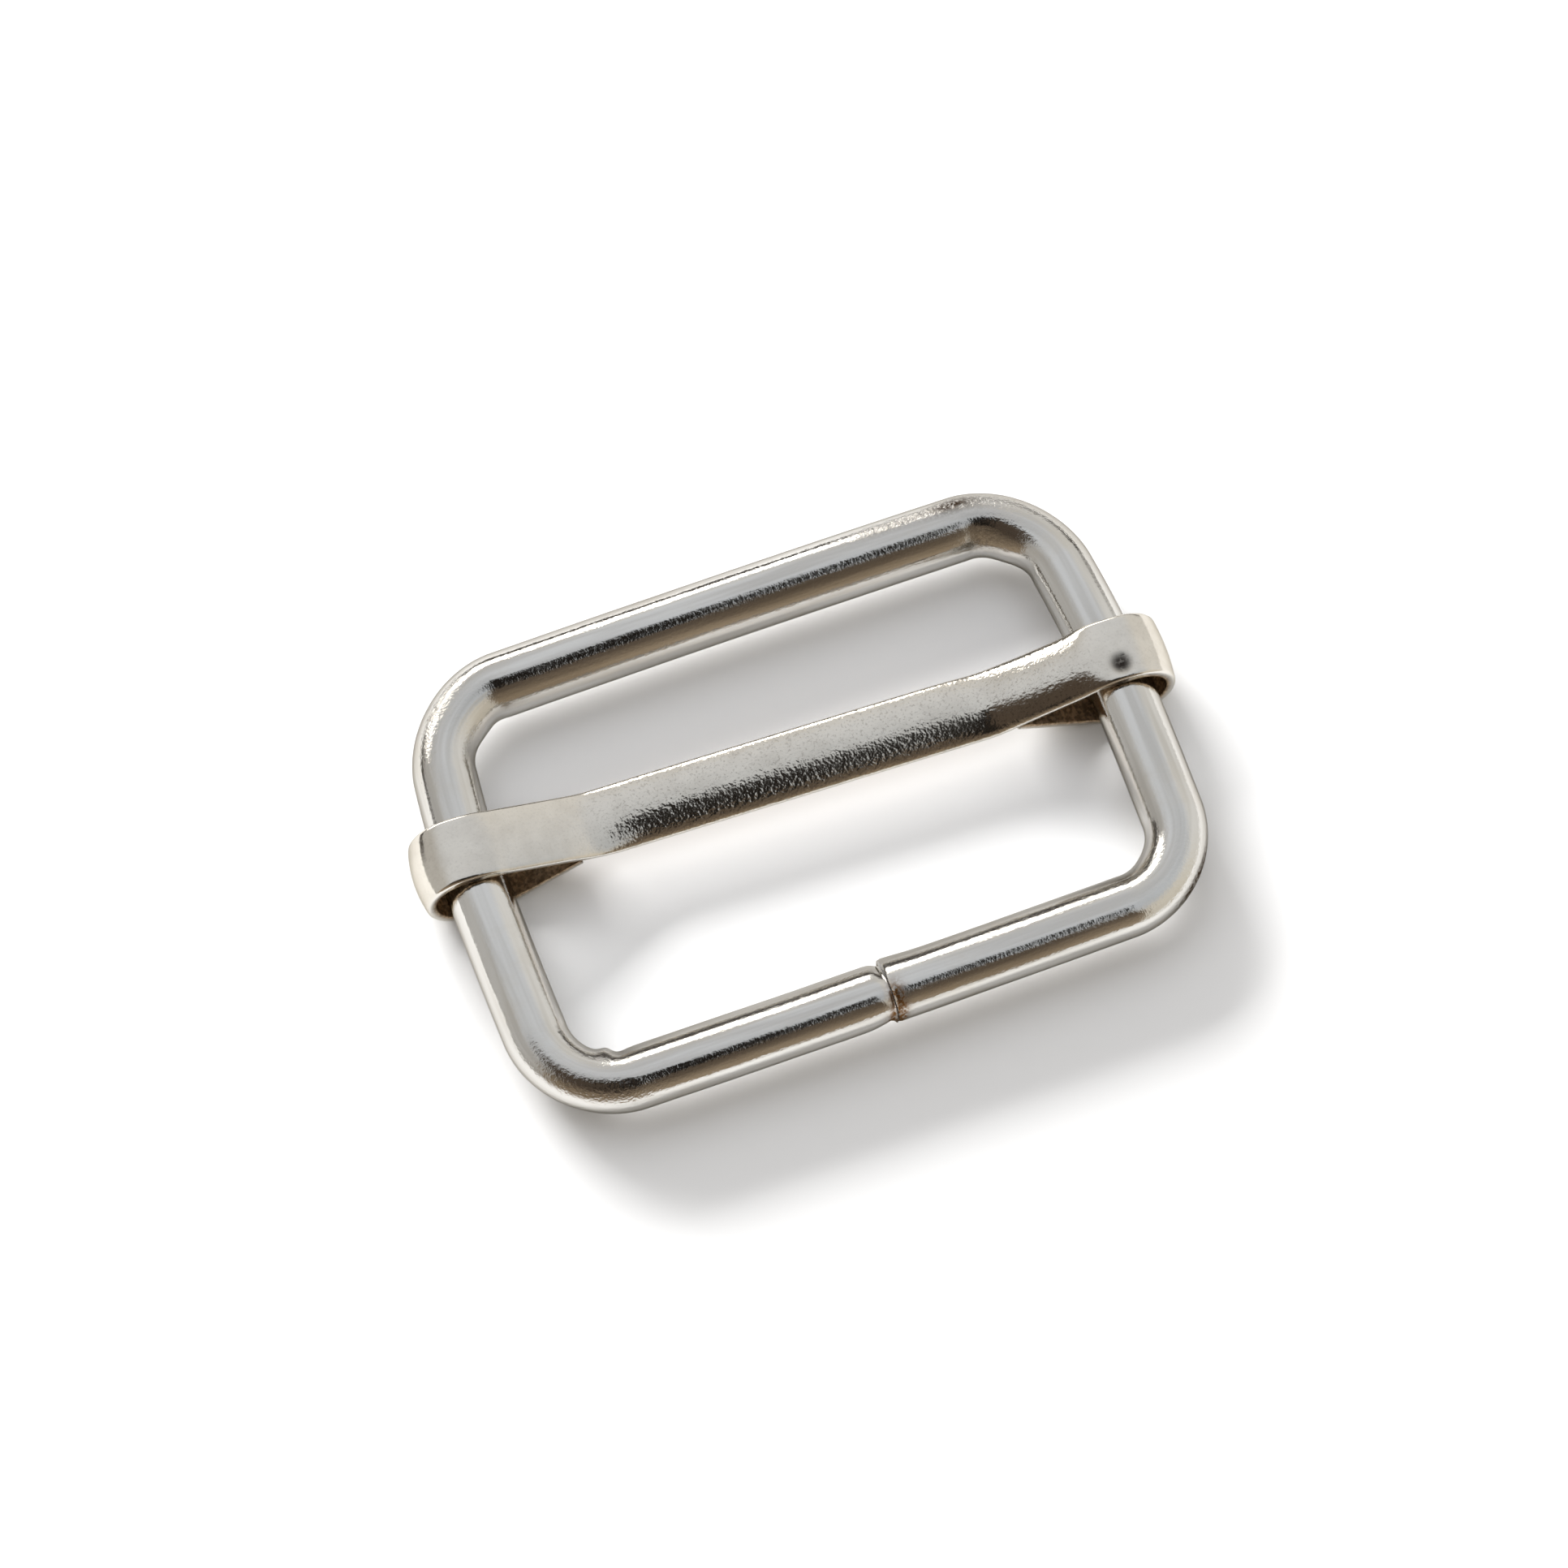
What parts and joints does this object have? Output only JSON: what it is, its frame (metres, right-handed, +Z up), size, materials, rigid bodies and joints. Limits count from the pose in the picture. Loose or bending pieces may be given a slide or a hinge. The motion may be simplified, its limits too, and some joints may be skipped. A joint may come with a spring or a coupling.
{
  "type": "slide buckle",
  "caption": "Metal slide buckle for adjusting a strap: a bent round-wire frame, butted in its front rail, with a pressed sheet bar that slides along the side rails.",
  "frame": {"origin": "on the surface that the buckle lies on, below the middle of the frame", "axes": "+X across the strap, +Y to the back along the strap and along the side rails, +Z up, out of the buckle's face"},
  "size_m": [0.0388, 0.025, 0.0046],
  "materials": {
    "polished_nickel": "nickel-plated steel wire, bright, with fine drawing lines along it",
    "satin_nickel": "nickel-plated steel sheet, satin, with a fine grain"
  },
  "bodies": {
    "frame": {"wire_frame": "polished_nickel"},
    "bar": {"slide_bar": "satin_nickel"}
  },
  "joints": [
    {"name": "bar_slide", "type": "slide", "parent": "frame", "child": "bar", "axis": [0, 1, 0], "range_m": [-0.0085, 0.0044]}
  ]
}
